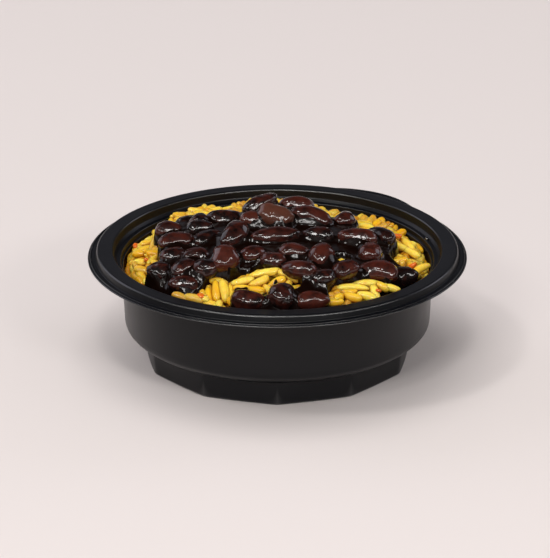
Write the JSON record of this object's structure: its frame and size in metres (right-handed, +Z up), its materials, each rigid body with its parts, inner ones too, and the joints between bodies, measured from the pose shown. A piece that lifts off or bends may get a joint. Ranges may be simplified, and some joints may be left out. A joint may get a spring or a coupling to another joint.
{
  "type": "rice and beans in a takeaway bowl",
  "caption": "Round black plastic takeaway bowl with a pull tab and a faceted foot, heaped with yellow rice and black beans in dark sauce.",
  "frame": {"origin": "centre of the underside of the bowl's foot, on the surface it stands on", "axes": "+Z up; -Y towards the front, where a corner of the foot points; the pull tab is at the back right, 60 degrees from +X towards +Y"},
  "size_m": [0.1578, 0.158, 0.0652],
  "materials": {
    "bowl_plastic": "satin black moulded polypropylene",
    "rice_grain": "moist cooked yellow rice",
    "bean_skin": "glossy black beans in dark sauce"
  },
  "bodies": {
    "root": {"bowl": "bowl_plastic", "rice": "rice_grain", "beans": "bean_skin"}
  },
  "joints": []
}
